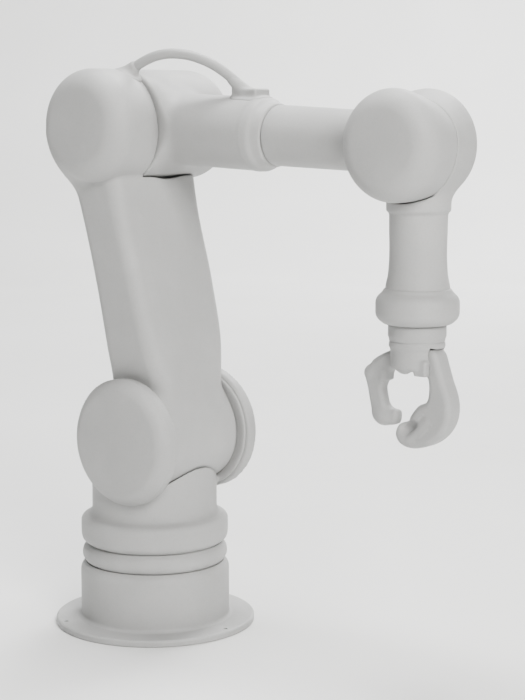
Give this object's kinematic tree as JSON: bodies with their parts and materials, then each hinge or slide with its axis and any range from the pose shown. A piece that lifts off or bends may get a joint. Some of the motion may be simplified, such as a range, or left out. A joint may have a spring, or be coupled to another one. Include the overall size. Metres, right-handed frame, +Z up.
{
  "type": "desktop robot arm",
  "caption": "Desktop robot arm on a round flanged base, with round joint covers, an arched elbow cable and a two-finger gripper.",
  "frame": {"origin": "centre of the base's underside, on the surface it stands on", "axes": "+Z up, +X the way the arm reaches, +Y along the shoulder, elbow and wrist axes"},
  "size_m": [0.3549, 0.156, 0.4447],
  "materials": {
    "casing": "matte moulded",
    "gripper_grey": "matte moulded",
    "finger_plastic": "matte moulded",
    "motor_can": "brushed",
    "steel": "ground",
    "gear_brass": "machined",
    "aluminium_plate": "brushed",
    "circuit_board": "solder mask",
    "black_plastic": "fine texture",
    "cable_jacket": "matte jacket"
  },
  "bodies": {
    "base": {"base_housing": "casing", "base_trim_ring": "casing", "base_bottom_plate": "aluminium_plate", "bottom_plate_screws": "steel", "waist_bearing_outer_race": "steel", "waist_motor": "motor_can", "waist_motor_bracket": "aluminium_plate", "control_board": "circuit_board", "board_standoffs": "steel", "power_socket": "black_plastic", "data_socket": "black_plastic"},
    "waist_pinion": {"waist_pinion": "gear_brass"},
    "power_button": {"power_button": "black_plastic"},
    "turret": {"turret_housing": "casing", "waist_bearing_inner_race": "steel", "waist_bearing_balls": "steel", "waist_gear": "gear_brass", "shoulder_cap_left": "casing", "shoulder_cap_right": "casing", "shoulder_motor": "motor_can", "shoulder_bearings": "steel"},
    "upper_arm": {"upper_arm_housing": "casing", "upper_arm_spine": "aluminium_plate", "shoulder_axle": "steel", "elbow_cap_left": "casing", "elbow_motor": "motor_can", "elbow_bearing": "steel", "elbow_cable_gland": "black_plastic", "elbow_cable": "cable_jacket"},
    "forearm": {"forearm_housing": "casing", "elbow_cap_right": "casing", "elbow_axle": "steel", "cable_entry_box": "casing", "roll_motor": "motor_can", "roll_bearing_outer_race": "steel"},
    "forearm_tube": {"forearm_tube": "casing", "roll_bearing_inner_race": "steel", "wrist_cap_left": "casing", "wrist_motor": "motor_can", "wrist_bearing": "steel"},
    "hand": {"hand_housing": "casing", "wrist_cap_right": "casing", "wrist_axle": "steel", "hand_ring": "casing", "tool_motor": "motor_can", "tool_bearing_outer_race": "steel"},
    "tool": {"tool_flange": "gripper_grey", "tool_bearing_inner_race": "steel", "gripper_palm": "gripper_grey", "gripper_servo": "motor_can"},
    "front_finger": {"front_finger": "finger_plastic", "front_finger_pin": "steel"},
    "rear_finger": {"rear_finger": "finger_plastic", "rear_finger_pin": "steel"}
  },
  "joints": [
    {"name": "waist", "type": "hinge", "parent": "base", "child": "turret", "pos_m": [0, 0, 0.06], "axis": [0, 0, 1], "range_deg": [-170, 170]},
    {"name": "waist_pinion_spin", "type": "hinge", "parent": "base", "child": "waist_pinion", "pos_m": [-0.032, 0, 0.037], "axis": [0, 0, 1], "range_deg": [-520, 520]},
    {"name": "power_press", "type": "slide", "parent": "base", "child": "power_button", "axis": [0, -1, 0], "range_m": [0, 0.0008], "stiffness_N_per_m": 800, "springref_m": -0.0002},
    {"name": "shoulder", "type": "hinge", "parent": "turret", "child": "upper_arm", "pos_m": [0.0136, 0, 0.1504], "axis": [0, 1, 0], "range_deg": [-45, 60]},
    {"name": "elbow", "type": "hinge", "parent": "upper_arm", "child": "forearm", "pos_m": [-0.0145, 0, 0.388], "axis": [0, 1, 0], "range_deg": [-80, 18], "deforming": ["elbow_cable"]},
    {"name": "forearm_roll", "type": "hinge", "parent": "forearm", "child": "forearm_tube", "pos_m": [0.12, 0.012, 0.38095], "axis": [0.9991, 0, -0.0419], "range_deg": [-170, 170]},
    {"name": "wrist_pitch", "type": "hinge", "parent": "forearm_tube", "child": "hand", "pos_m": [0.2382, 0, 0.376], "axis": [0, 1, 0], "range_deg": [-195, 15]},
    {"name": "tool_roll", "type": "hinge", "parent": "hand", "child": "tool", "pos_m": [0.2382, 0.0115, 0.25], "axis": [0, 0, 1], "range_deg": [-180, 180]},
    {"name": "front_finger_swing", "type": "hinge", "parent": "tool", "child": "front_finger", "pos_m": [0.2477, 0.0115, 0.227], "axis": [0, -1, 0], "range_deg": [0, 35]},
    {"name": "rear_finger_swing", "type": "hinge", "parent": "tool", "child": "rear_finger", "pos_m": [0.2287, 0.0115, 0.227], "axis": [0, -1, 0], "range_deg": [-36, 1]}
  ],
  "couplings": [
    {"joint": "waist_pinion_spin", "follows": "waist", "ratio": -3},
    {"joint": "rear_finger_swing", "follows": "front_finger_swing", "ratio": -1}
  ]
}
